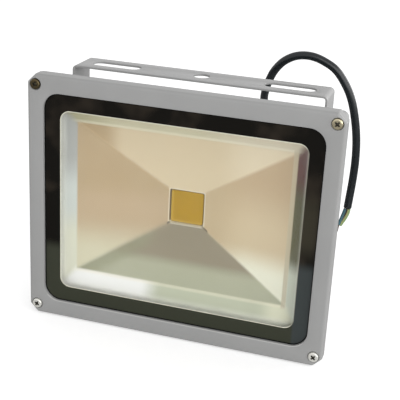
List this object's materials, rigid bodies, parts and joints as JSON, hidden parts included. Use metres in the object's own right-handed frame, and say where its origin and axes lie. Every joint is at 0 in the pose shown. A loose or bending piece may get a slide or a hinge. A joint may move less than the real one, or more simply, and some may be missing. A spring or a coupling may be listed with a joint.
{
  "type": "led floodlight",
  "caption": "Rectangular floodlight: a finned cast head with a glazed front and a faceted reflector tilts in a U bracket, with a short bare-ended cable.",
  "frame": {"origin": "centre of the bracket's round hole, on the outer face of its crosspiece, which is screwed to a wall, ceiling or bar", "axes": "+Z out of the bracket's mounting face, up in the picture; +X to the right of someone who faces the lamp, along the tilt axis; the lamp shines along -Y at rest"},
  "size_m": [0.225, 0.1557, 0.1974],
  "materials": {
    "painted_cast": "satin grey paint on cast aluminium",
    "painted_steel": "satin grey paint on folded steel strip",
    "zinc": "zinc plated",
    "brass": "plain",
    "glass": "clear toughened, black printed border",
    "silicone": "matte",
    "bright_sheet": "bright sheet",
    "led_metal": "plain",
    "white_plastic": "moulded",
    "phosphor": "cast silicone with phosphor",
    "thermal_pad": "matte",
    "driver_case": "moulded",
    "black_plastic": "moulded nylon",
    "rubber": "satin",
    "wire_red": "insulation",
    "wire_black": "insulation",
    "wire_brown": "insulation",
    "wire_blue": "insulation",
    "wire_earth": "green and yellow insulation"
  },
  "bodies": {
    "bracket": {"mounting_bracket": "painted_steel"},
    "head": {"front_frame": "painted_cast", "frame_screw_1": "zinc", "frame_screw_2": "zinc", "frame_screw_3": "zinc", "frame_screw_4": "zinc", "front_glass": "glass", "glass_seal": "silicone", "reflector": "bright_sheet", "led_plate": "led_metal", "led_dam": "white_plastic", "led_phosphor": "phosphor", "led_screw_1": "zinc", "led_screw_2": "zinc", "led_screw_3": "zinc", "led_screw_4": "zinc", "thermal_pad": "thermal_pad", "led_lead_red": "wire_red", "led_lead_black": "wire_black", "rear_housing": "painted_cast", "hood_gasket": "silicone", "driver_hood": "painted_cast", "hood_screw_1": "zinc", "hood_screw_2": "zinc", "hood_screw_3": "zinc", "hood_screw_4": "zinc", "led_driver": "driver_case", "driver_screw_1": "zinc", "driver_screw_2": "zinc", "terminal_block": "white_plastic", "earth_screw": "brass", "earth_terminal": "zinc", "inner_cable": "rubber", "inner_core_brown": "wire_brown", "inner_core_blue": "wire_blue", "inner_core_earth": "wire_earth", "driver_lead_brown": "wire_brown", "driver_lead_blue": "wire_blue", "gland_washer": "rubber", "gland_body": "black_plastic", "gland_seal": "silicone", "gland_nut": "black_plastic", "gland_locknut": "black_plastic", "pivot_bolt_right": "zinc", "pivot_bolt_left": "zinc", "spring_washer_right": "zinc", "spring_washer_left": "zinc", "flat_washer_right": "zinc", "flat_washer_left": "zinc", "mains_cable": "rubber", "cable_core_blue": "wire_blue", "cable_core_brown": "wire_brown", "cable_core_earth": "wire_earth"}
  },
  "joints": [
    {"name": "tilt", "type": "hinge", "parent": "bracket", "child": "head", "pos_m": [0, 0, -0.0933], "axis": [1, 0, 0], "range_deg": [-12, 90]}
  ]
}
